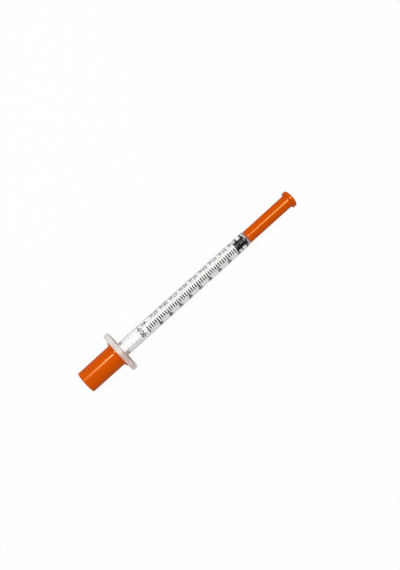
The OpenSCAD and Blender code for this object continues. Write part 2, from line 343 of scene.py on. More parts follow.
def marks_tree():
    """Prints a row of marks along the barrel, every few of them long."""
    tree, given, result = new_tree("Printed marks", "GeometryNodeTree", [
        ("Geometry", "INPUT", "Geometry", None),
        ("Marks", "INPUT", "Int", MARK_COUNT),
        ("Marks per Long Mark", "INPUT", "Int", MARKS_PER_LONG),
        ("First Mark", "INPUT", "Float", 0.0),
        ("Pitch", "INPUT", "Float", 1.0),
        ("Mark Width", "INPUT", "Float", MARK_W),
        ("Thickness", "INPUT", "Float", INK_T),
        ("Radius", "INPUT", "Float", BARREL_R),
        ("Start Angle", "INPUT", "Float", 0.0),
        ("Short Turn", "INPUT", "Float", 0.5),
        ("Long Turn", "INPUT", "Float", 1.0),
        ("Material", "INPUT", "Material", None),
        ("Marks", "OUTPUT", "Geometry", None),
    ])
    size = node(tree, "ShaderNodeCombineXYZ", in_X=given.outputs["Mark Width"], in_Y=1.0,
                in_Z=given.outputs["Thickness"])
    bar = node(tree, "GeometryNodeMeshCube", in_Size=size.outputs["Vector"], in_Vertices_Y=MARK_POINTS)
    from_start = node(tree, "GeometryNodeTransform", in_Geometry=bar.outputs["Mesh"],
                      in_Translation=(0, 0.5, 0))
    first = node(tree, "ShaderNodeCombineXYZ", in_X=given.outputs["First Mark"],
                 in_Y=given.outputs["Start Angle"])
    back = node(tree, "ShaderNodeMath", operation="MULTIPLY", in_0=given.outputs["Pitch"], in_1=-1.0)
    offset = node(tree, "ShaderNodeCombineXYZ", in_X=back.outputs[0])
    row = node(tree, "GeometryNodeMeshLine", in_Count=given.outputs["Marks"],
               in_Start_Location=first.outputs["Vector"], in_Offset=offset.outputs["Vector"])
    index = node(tree, "GeometryNodeInputIndex")
    turn_in_group = node(tree, "ShaderNodeMath", operation="MODULO", in_0=index.outputs[0],
                         in_1=given.outputs["Marks per Long Mark"])
    is_short = node(tree, "ShaderNodeMath", operation="GREATER_THAN", in_0=turn_in_group.outputs[0],
                    in_1=0.5)
    turn = node(tree, "ShaderNodeMix", data_type="FLOAT", in_Factor=is_short.outputs[0],
                in_2=given.outputs["Long Turn"], in_3=given.outputs["Short Turn"])
    stretch = node(tree, "ShaderNodeCombineXYZ", in_X=1.0, in_Y=turn.outputs[0], in_Z=1.0)
    bars = node(tree, "GeometryNodeInstanceOnPoints", in_Points=row.outputs["Mesh"],
                in_Instance=from_start.outputs["Geometry"], in_Scale=stretch.outputs["Vector"])
    real = node(tree, "GeometryNodeRealizeInstances", in_Geometry=bars.outputs["Instances"])
    flat = node(tree, "GeometryNodeInputPosition")
    part = node(tree, "ShaderNodeSeparateXYZ", in_Vector=flat.outputs[0])
    radius = node(tree, "ShaderNodeMath", operation="ADD", in_0=part.outputs["Z"],
                  in_1=given.outputs["Radius"])
    sine = node(tree, "ShaderNodeMath", operation="SINE", in_0=part.outputs["Y"])
    cosine = node(tree, "ShaderNodeMath", operation="COSINE", in_0=part.outputs["Y"])
    aside = node(tree, "ShaderNodeMath", operation="MULTIPLY", in_0=sine.outputs[0],
                 in_1=radius.outputs[0])
    turned_aside = node(tree, "ShaderNodeMath", operation="MULTIPLY", in_0=aside.outputs[0], in_1=-1.0)
    up = node(tree, "ShaderNodeMath", operation="MULTIPLY", in_0=cosine.outputs[0],
              in_1=radius.outputs[0])
    place = node(tree, "ShaderNodeCombineXYZ", in_X=part.outputs["X"], in_Y=turned_aside.outputs[0],
                 in_Z=up.outputs[0])
    wrapped_bars = node(tree, "GeometryNodeSetPosition", in_Geometry=real.outputs["Geometry"],
                        in_Position=place.outputs["Vector"])
    painted = node(tree, "GeometryNodeSetMaterial", in_Geometry=wrapped_bars.outputs["Geometry"],
                   in_Material=given.outputs["Material"])
    tree.links.new(painted.outputs["Geometry"], result.inputs["Marks"])
    return tree


def grown(name, start, tree, **values):
    """The plain mesh that a geometry tree makes of a starting mesh, as a new object's mesh."""
    maker = bpy.data.objects.new(name + "_maker", start)
    bpy.context.scene.collection.objects.link(maker)
    modifier = maker.modifiers.new("Tree", "NODES")
    modifier.node_group = tree
    for item in tree.interface.items_tree:
        key = item.name.lower().replace(" ", "_")
        if item.in_out == "INPUT" and key in values:
            modifier[item.identifier] = values[key]
    made = bpy.data.meshes.new_from_object(maker.evaluated_get(bpy.context.evaluated_depsgraph_get()))
    bpy.data.objects.remove(maker)
    made.name = name
    return made


def piece(name, mesh, body, stands_for=None):
    """A finished piece from a mesh in millimetres: in metres, facing outwards, on its body."""
    shaped = bmesh.new()
    shaped.from_mesh(mesh)
    bmesh.ops.remove_doubles(shaped, verts=shaped.verts, dist=JOIN_DISTANCE)
    bmesh.ops.scale(shaped, verts=shaped.verts, vec=Vector((MM, MM, MM)))
    bmesh.ops.recalc_face_normals(shaped, faces=shaped.faces)
    shaped.to_mesh(mesh)
    shaped.free()
    mesh.shade_smooth()
    mesh.set_sharp_from_angle(angle=CRISP_ANGLE)
    made = bpy.data.objects.new(name, mesh)
    bpy.context.scene.collection.objects.link(made)
    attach(made, body)
    if stands_for:
        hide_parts(stands_for)
    return made


def turned(name, outline, material, closed=False):
    """The mesh of an outline of (x, radius) points turned about the syringe's axis."""
    line = bpy.data.meshes.new(name + "_outline")
    links = [(i, i + 1) for i in range(len(outline) - 1)]
    if closed:
        links.append((len(outline) - 1, 0))
    line.from_pydata([(point.y - AXIS_GAP, -point.x, 0) for point in outline], links, [])
    mesh = grown(name, line, TURNING, material=material)
    mesh.transform(Matrix.Rotation(math.radians(90), 4, "Y"))
    return mesh


def reshaped(mesh, rule):
    """Moves every point of a turned mesh as rule(x, radius, angle) says. Angle 0 is +Y."""
    for vertex in mesh.vertices:
        x, y, z = vertex.co
        x, radius, angle = rule(x, math.hypot(y, z), math.atan2(z, y))
        vertex.co = (x, radius * math.cos(angle), radius * math.sin(angle))
    return mesh


def wrapped(mesh, x, angle, lie):
    """Bends a flat print round the barrel at x and angle. lie is its axes along and round it."""
    along, around = (Vector(axis) for axis in lie)
    cut = bmesh.new()
    cut.from_mesh(mesh)
    reach = [vertex.co.dot(around) for vertex in cut.verts]
    place = min(reach) + PRINT_STEP
    while place < max(reach):
        bmesh.ops.bisect_plane(cut, geom=cut.verts[:] + cut.edges[:] + cut.faces[:],
                               plane_co=around * place, plane_no=around, dist=CUT_DISTANCE)
        place += PRINT_STEP
    for vertex in cut.verts:
        turn = math.radians(angle) + vertex.co.dot(around) / BARREL_R
        radius = BARREL_R + vertex.co.z
        vertex.co = (x + vertex.co.dot(along), -radius * math.sin(turn), radius * math.cos(turn))
    cut.to_mesh(mesh)
    cut.free()
    return mesh


def printed_text(text, size, x, angle, lie, narrow=1.0):
    """The mesh of a number printed on the barrel. narrow is its width's share of the full one."""
    curve = bpy.data.curves.new("number", "FONT")
    curve.body = text
    curve.size = size
    curve.align_x = "CENTER"
    curve.align_y = "CENTER"
    curve.extrude = (INK_T + BOND) / 2
    curve.offset = INK_SPREAD
    curve.resolution_u = TEXT_STEPS
    writer = bpy.data.objects.new("number", curve)
    bpy.context.scene.collection.objects.link(writer)
    made = bpy.data.meshes.new_from_object(writer.evaluated_get(bpy.context.evaluated_depsgraph_get()))
    bpy.data.objects.remove(writer)
    made.transform(Matrix.Diagonal((narrow, 1, 1, 1)))
    made.transform(Matrix.Translation((0, 0, (INK_T - BOND) / 2)))
    return wrapped(made, x, angle, lie)


def printed_arrow():
    """The filling arrow beside the last mark, which points to the needle."""
    neck = ARROW_REAR + ARROW_LEN - ARROW_HEAD_LEN
    outline = [(ARROW_REAR, ARROW_W / 2), (ARROW_REAR, -ARROW_W / 2), (neck, -ARROW_W / 2),
               (neck, -ARROW_HEAD_W / 2), (ARROW_REAR + ARROW_LEN, 0), (neck, ARROW_HEAD_W / 2),
               (neck, ARROW_W / 2)]
    count = len(outline)
    levels = (-BOND, INK_T)
    corners = [(x, y, z) for z in levels for x, y in outline]
    sides = [(i, (i + 1) % count, count + (i + 1) % count, count + i) for i in range(count)]
    made = bpy.data.meshes.new("arrow")
    made.from_pydata(corners, [], [tuple(range(count))[::-1], tuple(range(count, 2 * count)), *sides])
    return wrapped(made, 0, ARROW_ANGLE, ARROW_PRINT)


def printed(mesh, stands_for=None):
    """A piece of print on the barrel. It neither shades nor darkens the rod under it."""
    made = piece(mesh.name, mesh, body="syringe_body", stands_for=stands_for)
    made.visible_shadow = False
    made.visible_diffuse = False


def joined(name, meshes):
    """One mesh of several."""
    whole = bmesh.new()
    for mesh in meshes:
        whole.from_mesh(mesh)
    made = bpy.data.meshes.new(name)
    whole.to_mesh(made)
    whole.free()
    return made


# Materials

# The moulded surface: noise scales per metre. Flow lines and scratches are stretched along X
GRAIN_SCALE = 2500.0
FLOW_SCALE = 900.0
FLOW_STRETCH = 0.08
BLOTCH_SCALE = 220.0
SCRATCH_SCALE = 4200.0
SCRATCH_STRETCH = 0.05
SCRATCH_TURN = (0.3, 0.2, 0.5)
# The grain's share of the relief and the blotches' share of the tone; the rest is flow lines
GRAIN_SHARE = 0.4
BLOTCH_SHARE = 0.5
# A scratch sets in between these values of its noise, and roughens the surface by SCUFFS
SCRATCH_FROM = 0.64
SCRATCH_TO = 0.72
SCUFFS = 0.3
# What a clear piece lets through of a lamp's light
CLEAR_TINT = (0.98, 0.98, 0.98, 1)

# Painted shade and painted orange glow from the cap in the frosted flange's colour, by the share of
# the way from its +Y end to its -Y end
FLANGE_PAINTED_LIGHT = (
    (0.0, (0.88, 0.86, 0.84)), (0.15, (0.76, 0.72, 0.69)), (0.33, (0.73, 0.64, 0.58)),
    (0.46, (0.87, 0.77, 0.7)), (0.58, (0.62, 0.47, 0.42)), (0.72, (0.59, 0.43, 0.37)),
    (0.84, (0.62, 0.52, 0.48)), (1.0, (1.0, 0.94, 0.92)),
)


def moulding_group():
    """Uneven surface of moulded plastic: flow lines along the piece, fine grain and scuffs."""
    tree, given, result = new_tree("Moulded surface", "ShaderNodeTree", [
        ("Grain Scale", "INPUT", "Float", GRAIN_SCALE),
        ("Flow Scale", "INPUT", "Float", FLOW_SCALE),
        ("Scuffs", "INPUT", "Float", SCUFFS),
        ("Height", "OUTPUT", "Float", None),
        ("Tone", "OUTPUT", "Float", None),
        ("Scuff Mask", "OUTPUT", "Float", None),
    ])
    place = node(tree, "ShaderNodeTexCoord")
    stretched = node(tree, "ShaderNodeMapping", in_Vector=place.outputs["Object"],
                     in_Scale=(FLOW_STRETCH, 1, 1))
    flow = node(tree, "ShaderNodeTexNoise", in_Vector=stretched.outputs[0],
                in_Scale=given.outputs["Flow Scale"], in_Detail=3.0)
    grain = node(tree, "ShaderNodeTexNoise", in_Vector=place.outputs["Object"],
                 in_Scale=given.outputs["Grain Scale"], in_Detail=2.0)
    blotch = node(tree, "ShaderNodeTexNoise", in_Vector=place.outputs["Object"],
                  in_Scale=BLOTCH_SCALE, in_Detail=2.0)
    height = node(tree, "ShaderNodeMix", data_type="FLOAT", in_Factor=GRAIN_SHARE,
                  in_2=flow.outputs["Fac"], in_3=grain.outputs["Fac"])
    tone = node(tree, "ShaderNodeMix", data_type="FLOAT", in_Factor=BLOTCH_SHARE,
                in_2=flow.outputs["Fac"], in_3=blotch.outputs["Fac"])
    scratched = node(tree, "ShaderNodeMapping", in_Vector=place.outputs["Object"],
                     in_Rotation=SCRATCH_TURN, in_Scale=(SCRATCH_STRETCH, 1, 1))
    scratch = node(tree, "ShaderNodeTexNoise", in_Vector=scratched.outputs[0],
                   in_Scale=SCRATCH_SCALE, in_Detail=1.0)
    thin = node(tree, "ShaderNodeMapRange", in_Value=scratch.outputs["Fac"],
                in_From_Min=SCRATCH_FROM, in_From_Max=SCRATCH_TO)
    mask = node(tree, "ShaderNodeMath", operation="MULTIPLY", in_0=thin.outputs[0],
                in_1=given.outputs["Scuffs"])
    tree.links.new(height.outputs[0], result.inputs["Height"])
    tree.links.new(tone.outputs[0], result.inputs["Tone"])
    tree.links.new(mask.outputs[0], result.inputs["Scuff Mask"])
    return tree


def finish_of(name, colours, roughness, bump, grain=GRAIN_SCALE, flow=FLOW_SCALE, scuffs=SCUFFS,
              **sockets):
    """A material with the moulded surface: its colours from dark to light, its roughness range
    and its bump in millimetres. sockets are constants of the shader."""
    material = bpy.data.materials.new(name)
    material.use_nodes = True
    tree = material.node_tree
    shader = node_of(tree, "BSDF_PRINCIPLED")
    for label, value in sockets.items():
        shader.inputs[label.replace("_", " ")].default_value = value
    surface = node(tree, "ShaderNodeGroup", node_tree=MOULDING)
    surface.inputs["Grain Scale"].default_value = grain
    surface.inputs["Flow Scale"].default_value = flow
    surface.inputs["Scuffs"].default_value = scuffs
    colour = node(tree, "ShaderNodeMix", data_type="RGBA", in_Factor=surface.outputs["Tone"])
    colour.inputs[6].default_value = (*colours[0], 1)
    colour.inputs[7].default_value = (*colours[1], 1)
    shine = node(tree, "ShaderNodeMapRange", in_Value=surface.outputs["Tone"],
                 in_To_Min=roughness[0], in_To_Max=roughness[1])
    scuffed = node(tree, "ShaderNodeMath", operation="ADD", use_clamp=True, in_0=shine.outputs[0],
                   in_1=surface.outputs["Scuff Mask"])
    relief = node(tree, "ShaderNodeBump", in_Height=surface.outputs["Height"], in_Distance=bump * MM,
                  in_Strength=1.0)
    tree.links.new(colour.outputs[2], shader.inputs["Base Color"])
    tree.links.new(scuffed.outputs[0], shader.inputs["Roughness"])
    tree.links.new(relief.outputs[0], shader.inputs["Normal"])
    return material


def lets_lamps_through(material):
    """Lets lamps light what is behind a clear material."""
    tree = material.node_tree
    output = node_of(tree, "OUTPUT_MATERIAL")
    path = node(tree, "ShaderNodeLightPath")
    clear = node(tree, "ShaderNodeBsdfTransparent")
    clear.inputs["Color"].default_value = CLEAR_TINT
    mix = node(tree, "ShaderNodeMixShader", in_0=path.outputs["Is Shadow Ray"],
               in_1=output.inputs["Surface"].links[0].from_socket, in_2=clear.outputs[0])
    tree.links.new(mix.outputs[0], output.inputs["Surface"])
    return material


def glows_within(material, colour):
    """Lets a frosted surface glow, on its inside, with the light that falls on its outside."""
    tree = material.node_tree
    shader = node_of(tree, "BSDF_PRINCIPLED")
    output = node_of(tree, "OUTPUT_MATERIAL")
    side = node(tree, "ShaderNodeNewGeometry")
    within = node(tree, "ShaderNodeBsdfTranslucent")
    within.inputs["Color"].default_value = (*colour, 1)
    mix = node(tree, "ShaderNodeMixShader", in_0=side.outputs["Backfacing"], in_1=shader.outputs[0],
               in_2=within.outputs[0])
    tree.links.new(mix.outputs[0], output.inputs["Surface"])
    return material


def warmed_by_cap(material):
    """Paints shade and an orange glow from the cap behind it into a surface's colour along Y, most on
    the side away from the light."""
    tree = material.node_tree
    shader = node_of(tree, "BSDF_PRINCIPLED")
    place = node(tree, "ShaderNodeTexCoord")
    part = node(tree, "ShaderNodeSeparateXYZ", in_Vector=place.outputs["Object"])
    across = node(tree, "ShaderNodeMapRange", in_Value=part.outputs["Y"], in_From_Min=FLANGE_R * MM,
                  in_From_Max=-FLANGE_R * MM)
    # Painted shade and painted orange glow, by place along Y
    painted_light = node(tree, "ShaderNodeValToRGB", in_Fac=across.outputs[0])
    ramp = painted_light.color_ramp
    for share, tint in FLANGE_PAINTED_LIGHT[1:-1]:
        ramp.elements.new(share)
    for element, (share, tint) in zip(ramp.elements, FLANGE_PAINTED_LIGHT):
        element.position = share
        element.color = (*tint, 1)
    blend = node(tree, "ShaderNodeMix", data_type="RGBA", blend_type="MULTIPLY", in_0=1.0,
                 in_6=shader.inputs["Base Color"].links[0].from_socket, in_7=painted_light.outputs["Color"])
    tree.links.new(blend.outputs[2], shader.inputs["Base Color"])
    return material


TURNING = turning_tree()
MARKS = marks_tree()
MOULDING = moulding_group()

clear_moulding = lets_lamps_through(finish_of(
    "clear_moulding", colours=((0.97, 0.975, 0.97), (0.992, 0.992, 0.99)), roughness=(0.01, 0.04),
    bump=0.00004, scuffs=0.03, IOR=1.49, Transmission_Weight=1.0))
frosted_moulding = finish_of(
    "frosted_moulding", colours=((0.89, 0.88, 0.87), (0.97, 0.97, 0.96)), roughness=(0.45, 0.6),
    bump=0.001, scuffs=0.1, IOR=1.49, Transmission_Weight=0.15)
# The flange's colour carries painted shade and a painted orange glow from the cap
lets_lamps_through(glows_within(warmed_by_cap(frosted_moulding), colour=(0.9, 0.86, 0.83)))
set_glue = lets_lamps_through(finish_of(
    "set_glue", colours=((0.88, 0.9, 0.82), (0.95, 0.96, 0.9)), roughness=(0.05, 0.12),
    bump=0.004, scuffs=0.0, IOR=1.5, Transmission_Weight=0.85))
milky_moulding = finish_of(
    "milky_moulding", colours=((0.84, 0.84, 0.82), (0.89, 0.89, 0.87)), roughness=(0.35, 0.45),
    bump=0.001, IOR=1.49)
orange_moulding = finish_of(
    "orange_moulding", colours=((0.55, 0.07, 0.0), (0.65, 0.09, 0.0)), roughness=(0.18, 0.185),
    bump=0.0001, scuffs=0.03, IOR=1.35, Specular_IOR_Level=0.3, Specular_Tint=(1, 0.62, 0.25, 1))
stopper_rubber = finish_of(
    "stopper_rubber", colours=((0.006, 0.0065, 0.008), (0.014, 0.015, 0.018)),
    roughness=(0.3, 0.45), bump=0.006, IOR=1.5)
printing_ink = finish_of(
    "printing_ink", colours=((0.004, 0.004, 0.004), (0.012, 0.012, 0.012)), roughness=(0.6, 0.75),
    bump=0.003, grain=6000.0, IOR=1.35)
drawn_steel = finish_of(
    "drawn_steel", colours=((0.62, 0.63, 0.65), (0.8, 0.81, 0.82)), roughness=(0.12, 0.25),
    bump=0.001, grain=9000.0, flow=4000.0, Metallic=1.0)


def flange_limit(angle):
    """The flange's outer radius in a direction: round ends and two flat sides."""
    rise = abs(math.sin(angle))
    return min(FLANGE_R, FLANGE_FLAT / rise) if rise > 0 else FLANGE_R


def barrel_rule(x, radius, angle):
    """Presses the flange's flat sides and raises the ribs on the nose."""
    if radius > FLANGE_R - FLANGE_EDGE - JOIN_DISTANCE:
        radius -= FLANGE_R - flange_limit(angle)
    if SHOULDER < x <= SHOULDER + RIB_LEN and radius > NOSE_TIP_R:
        step = 2 * math.pi / RIB_COUNT
        off = (angle + step / 2) % step - step / 2
        if radius * abs(math.sin(off)) < RIB_T / 2:
            radius = NOSE_ROOT_R + RIB_H
    return x, radius, angle


def make_barrel():
    """The clear barrel with its bore, bead, nose and ribs, and its frosted flange and collar."""
    bead_rear = COLLAR_REAR + BEAD_INSET
    rib_end_r = NOSE_ROOT_R + (NOSE_TIP_R - NOSE_ROOT_R) * RIB_LEN / NOSE_LEN
    rib_end = SHOULDER + RIB_LEN
    outline = rounded([
        (COLLAR_REAR, COLLAR_R, COLLAR_EDGE), (-FLANGE_T, COLLAR_R, COLLAR_ROOT),
        (-FLANGE_T, FLANGE_R, FLANGE_EDGE), (0, FLANGE_R, FLANGE_EDGE),
        (0, BARREL_R, ROOT_FILLET), (SHOULDER, BARREL_R, SHOULDER_EDGE),
        (SHOULDER, NOSE_ROOT_R), (rib_end, rib_end_r), (rib_end + RIB_STEP, rib_end_r),
        (NOSE_TIP, NOSE_TIP_R, TIP_EDGE), (NOSE_TIP, WELL_R, WELL_EDGE),
        (NOSE_TIP - WELL_DEPTH, WELL_R), (NOSE_TIP - WELL_DEPTH, NEEDLE_R - BOND),
        (BORE_END, NEEDLE_R - BOND), (BORE_END, BORE_R, BORE_END_EDGE),
        (bead_rear + BEAD_LEN, BORE_R, BEAD_ROOT),
        (bead_rear + BEAD_LEN, BORE_R - BEAD_H, BEAD_EDGE),
        (bead_rear, BORE_R - BEAD_H, BEAD_EDGE), (bead_rear, BORE_R, BEAD_ROOT),
        (COLLAR_REAR, BORE_R, MOUTH_EDGE),
    ])
    mesh = reshaped(turned("barrel", outline, clear_moulding, closed=True), barrel_rule)
    mesh.materials.append(frosted_moulding)
    for face in mesh.polygons:
        outside = math.hypot(face.center.y, face.center.z) > BARREL_R + FROST_MARGIN
        face.material_index = int(outside and face.center.x < ROOT_FILLET)
    return piece("barrel_body", mesh, body="syringe_body", stands_for="barrel")


def make_needle():
    """The steel tube, its point ground to a bevel that opens upwards."""
    point = needle_high.x
    bore_r = NEEDLE_R - NEEDLE_WALL

    def grind(x, radius, angle):
        """Draws the end's upper points back, to the bevel's plane."""
        if x > point - JOIN_DISTANCE:
            x -= (radius * math.sin(angle) + NEEDLE_R) / math.tan(BEVEL)
        return x, radius, angle

    outline = rounded([
        (needle_low.x, bore_r), (needle_low.x, NEEDLE_R), (point, NEEDLE_R), (point, bore_r),
    ])
    mesh = reshaped(turned("needle", outline, drawn_steel, closed=True), grind)
    return piece("needle_tube", mesh, body="syringe_body", stands_for="needle")


def make_glue():
    """The bead of glue that fills the nose's well and rises to a small dome round the needle."""
    outline = rounded([
        (glue_low.x, NEEDLE_R - BOND), (glue_low.x, WELL_R - GLUE_GAP),
        (NOSE_TIP, WELL_R - GLUE_GAP, GLUE_EDGE),
        (glue_high.x - GLUE_TOP_T, NEEDLE_R + GLUE_TOP_W, GLUE_DOME),
        (glue_high.x, NEEDLE_R - BOND),
    ])
    mesh = turned("needle_glue", outline, set_glue, closed=True)
    return piece("glue_bead", mesh, body="syringe_body", stands_for="needle_glue")


def make_stopper():
    """The rubber stopper: two rings with a waist between, a tail and the hole for the button."""
    contact_r = BORE_R + BOND
    ring_rear = STOPPER_FRONT - FRONT_RING
    tail_front = STOPPER_REAR + TAIL_LEN
    neck_end = STOPPER_REAR + NECK_LEN - SNAP_GAP
    hole_end = neck_end + BUTTON_LEN + 2 * SNAP_GAP
    outline = rounded([
        (STOPPER_FRONT, 0), (STOPPER_FRONT, contact_r * FRONT_SHARE, FRONT_EDGE),
        (STOPPER_FRONT - FRONT_CHAMFER, contact_r, CHAMFER_EDGE), (ring_rear, contact_r, RING_EDGE),
        (ring_rear, WAIST_R, WAIST_FILLET), (tail_front + REAR_RING, WAIST_R, WAIST_FILLET),
        (tail_front + REAR_RING, contact_r, RING_EDGE), (tail_front, contact_r, RING_EDGE),
        (tail_front, TAIL_R, TAIL_ROOT), (STOPPER_REAR, TAIL_R, TAIL_EDGE),
        (STOPPER_REAR, NECK_R + SNAP_GAP, HOLE_EDGE), (neck_end, NECK_R + SNAP_GAP),
        (neck_end, BUTTON_R + SNAP_GAP), (hole_end, BUTTON_R + SNAP_GAP, HOLE_END_EDGE),
        (hole_end, 0),
    ])
    mesh = turned("stopper", outline, stopper_rubber)
    return piece("rubber_stopper", mesh, body="stopper", stands_for="stopper")


def cross_radius(angle):
    """The rod's radius in a direction: four ribs that meet in the middle."""
    across = max(abs(math.sin(angle - ROD_ROLL)), LEAST_SINE)
    upright = max(abs(math.cos(angle - ROD_ROLL)), LEAST_SINE)
    return min(ROD_R, max(WEB_T / 2 / across, WEB_T / 2 / upright))


def make_rod():
    """The plunger rod: thumb rest with raised rings, four ribs, push disc, neck and button."""
    thumb_front = ROD_REAR + THUMB_T
    push_front = STOPPER_REAR - SNAP_GAP
    push_rear = push_front - PUSH_T
    neck_end = STOPPER_REAR + NECK_LEN

    def ribbed(x, radius, angle):
        """Presses the rod between the thumb rest and the push disc into four ribs."""
        between = thumb_front - JOIN_DISTANCE < x < push_rear + JOIN_DISTANCE
        if between and radius < ROD_R + ROD_FILLET + JOIN_DISTANCE:
            radius -= ROD_R - cross_radius(angle)
        return x, radius, angle

    rings = []
    for ring_r in THUMB_RING_RADII:
        low, high = ring_r - THUMB_RING_W / 2, ring_r + THUMB_RING_W / 2
        top = ROD_REAR - THUMB_RING_H
        rings += [(ROD_REAR, low), (top, low, THUMB_RING_EDGE), (top, high, THUMB_RING_EDGE),
                  (ROD_REAR, high)]
    outline = rounded([
        (ROD_REAR, 0), *rings, (ROD_REAR, THUMB_R, THUMB_EDGE), (thumb_front, THUMB_R, THUMB_EDGE),
        (thumb_front, ROD_R, ROD_FILLET), (push_rear, ROD_R),
        (push_rear + PUSH_STEP, ROD_R + PUSH_RISE), (push_front, ROD_R, PUSH_EDGE),
        (push_front, NECK_R, NECK_ROOT), (neck_end, NECK_R), (neck_end, BUTTON_R, BUTTON_EDGE),
        (neck_end + BUTTON_LEN * BUTTON_SIDE_SHARE, BUTTON_R, BUTTON_SIDE_EDGE),
        (neck_end + BUTTON_LEN, BUTTON_R * BUTTON_TIP_SHARE, BUTTON_TIP_EDGE),
        (neck_end + BUTTON_LEN, 0),
    ])
    mesh = reshaped(turned("plunger_rod", outline, milky_moulding), ribbed)
    return piece("cross_rod", mesh, body="plunger_rod", stands_for="plunger_rod")


def make_cap():
    """The wide cap over the plunger, with a dimple in its end and a flared lip at its mouth."""
    end, mouth = cap_low.x, cap_high.x
    floor = end + CAP_END_T
    dimple = end + DIMPLE_DEPTH
    outline = rounded([
        (dimple, 0), (dimple, DIMPLE_R, DIMPLE_FLOOR_EDGE), (end, DIMPLE_R, DIMPLE_EDGE),
        (end, CAP_R, CAP_EDGE), (mouth - LIP_T, CAP_MOUTH_R, FLARE_R),
        (mouth - LIP_T, LIP_R, LIP_EDGE), (mouth, LIP_R, LIP_EDGE),
        (mouth, CAP_BORE_R, CAP_RIM_EDGE), (floor, CAP_BORE_R, CAP_FLOOR_EDGE), (floor, 0),
    ])
    mesh = turned("plunger_cap", outline, orange_moulding)
    return piece("end_cap", mesh, body="plunger_cap", stands_for="plunger_cap")


def make_shield():
    """The slim tube over the needle, wider at its rim to grip the nose, with a flared head."""
    rim, end = shield_low.x, shield_high.x
    floor = end - SHIELD_END_T
    outline = rounded([
        (floor, 0), (floor, SHIELD_BORE_R - BORE_TAPER), (floor - BORE_TAPER, SHIELD_BORE_R),
        (NOSE_TIP, SHIELD_BORE_R), (NOSE_TIP, GRIP_BORE_R), (rim, GRIP_BORE_R, GRIP_EDGE),
        (rim, SHIELD_R, RIM_EDGE), (end - HEAD_T, SHIELD_NECK_R, HEAD_FILLET),
        (end - HEAD_T, HEAD_R, HEAD_EDGE), (end, HEAD_R, HEAD_EDGE), (end, GATE_R, GATE_EDGE),
        (end - GATE_DEPTH, GATE_R, GATE_EDGE), (end - GATE_DEPTH, 0),
    ])
    mesh = turned("needle_shield", outline, orange_moulding)
    return piece("shield_tube", mesh, body="needle_shield",
                 stands_for="needle_shield")


def make_scale():
    """The printed marks with their numbers and the filling arrow."""
    marks = grown("scale_ticks", bpy.data.meshes.new("nothing"), MARKS, first_mark=BORE_END,
                  pitch=MARK_PITCH, thickness=INK_T + BOND, radius=BARREL_R + (INK_T - BOND) / 2,
                  start_angle=math.radians(MARK_START),
                  short_turn=math.radians(SHORT_END - MARK_START),
                  long_turn=math.radians(LONG_END - MARK_START), material=printing_ink)
    printed(marks, "scale_marks")
    numbers = []
    for long_mark in range(1, SCALE_UNITS // LONG_STEP):
        x = BORE_END - long_mark * MARKS_PER_LONG * MARK_PITCH
        numbers.append(printed_text(str(LONG_STEP * long_mark), UNITS_SIZE, x, UNITS_ANGLE,
                                    ROUND_PRINT, UNITS_NARROW))
        numbers.append(printed_text(f"0.{long_mark} mL", VOLUME_SIZE, x, VOLUME_ANGLE,
                                    LONG_PRINT, VOLUME_NARROW))
    numbers.append(printed_text(str(SCALE_UNITS), TOTAL_SIZE, TOTAL_X, TOTAL_ANGLE, ROUND_PRINT))
    numbers.append(printed_text("1 mL", TOTAL_VOLUME_SIZE, TOTAL_X, TOTAL_VOLUME_ANGLE,
                                ROUND_PRINT, TOTAL_VOLUME_NARROW))
    numbers.append(printed_arrow())
    numerals = joined("scale_numerals", numbers)
    numerals.materials.append(printing_ink)
    printed(numerals)


barrel = make_barrel()
make_glue()
make_scale()
needle = make_needle()
stopper = make_stopper()
rod = make_rod()
cap = make_cap()
shield = make_shield()


# Table, light and camera

# The photograph's view: focal length in its pixels, distance, tilt and the syringe's slant
FRAME_SIZE = (400, 570)
FOCAL_PIXELS = 675
VIEW_DISTANCE = 296.6
VIEW_TILT = math.radians(5.5)
SLANT = math.radians(42.1)
VIEW_CENTRE = Vector((43.9, -1.7, 0))
# The camera's sensor in millimetres, and how near and how far it sees in metres
SENSOR_WIDTH = 36
CLIP_METRES = (0.01, 10)

# The table round the view's centre, and where it has faded into the backdrop
TABLE_R = 260
TABLE_FADE = (100, 240)
TABLE_SEGMENTS = 96
PAPER = (0.8, 0.8, 0.8, 1)
# How much of the plain backdrop the camera, reflections and clear pieces see in the table
SEEN_SHARE = 0.94
REFLECTED_SHARE = 0.75
CLEAR_SHARE = 0.55
# A painted shadow of the barrel on the table's -Y side, which the clear pieces see: from where to
# where, and how bright the darkest of it is
PAINTED_SHADOW_FROM = 1
PAINTED_SHADOW_TO = -6
PAINTED_SHADOW_LEVEL = 0.6
# How bright the backdrop is in reflections, where it is low and where it is overhead, and how
# far a ray's direction rises or falls from the level where the one turns into the other
REFLECTED_LOW = 0.15
REFLECTED_HIGH = 0.08
HORIZON_BAND = 0.15
# The light on what stands free, and from above on what lies inside a clear piece
FILL = 0.4
INNER_FILL = 1.1
# Reflections and refractions after which a lamp no longer counts, for shine and for light
SHINE_BOUNCES = 3
LIGHT_BOUNCES = 8


def value_by_ray(tree, path, plain, reflected, clear, seen):
    """A value for each kind of ray: plain, in a reflection, through a clear piece and seen."""
    value = plain
    by_kind = (("Is Glossy Ray", reflected), ("Is Transmission Ray", clear), ("Is Camera Ray", seen))
    for kind, own in by_kind:
        choice = node(tree, "ShaderNodeMix", data_type="FLOAT", in_Factor=path.outputs[kind],
                      in_2=value, in_3=own)
        value = choice.outputs[0]
    return value


